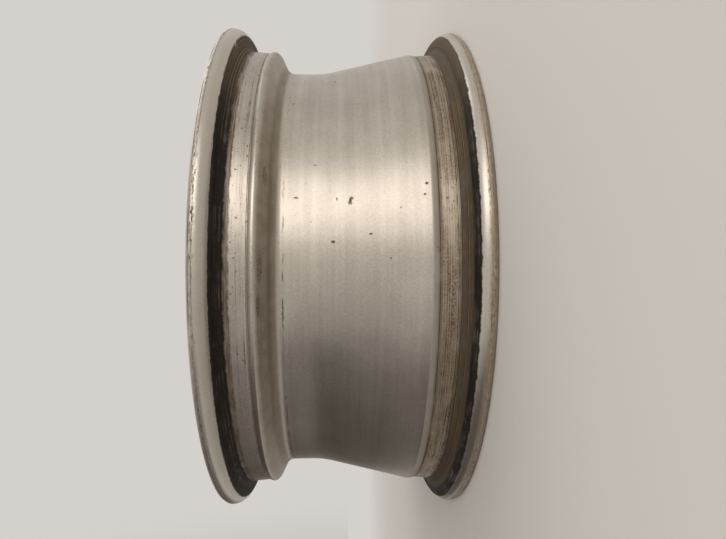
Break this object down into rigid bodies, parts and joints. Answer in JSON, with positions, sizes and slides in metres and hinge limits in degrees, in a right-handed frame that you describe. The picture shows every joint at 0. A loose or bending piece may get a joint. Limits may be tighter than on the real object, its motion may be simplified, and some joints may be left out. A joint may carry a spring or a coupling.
{
  "type": "car wheel rim",
  "caption": "Bare one-piece cast aluminium car wheel, 16 x 6.5 J, tyre removed, with a worn silver finish and tyre residue on the bead seats.",
  "frame": {"origin": "on the wheel's axis, midway between the two flange walls", "axes": "+Z along the wheel's axis towards the outer face, +Y through the valve hole, +X across"},
  "size_m": [0.4406, 0.4404, 0.1912],
  "materials": {
    "alloy": "worn silver lacquer, satin"
  },
  "bodies": {
    "root": {"wheel_rim": "alloy"}
  },
  "joints": []
}
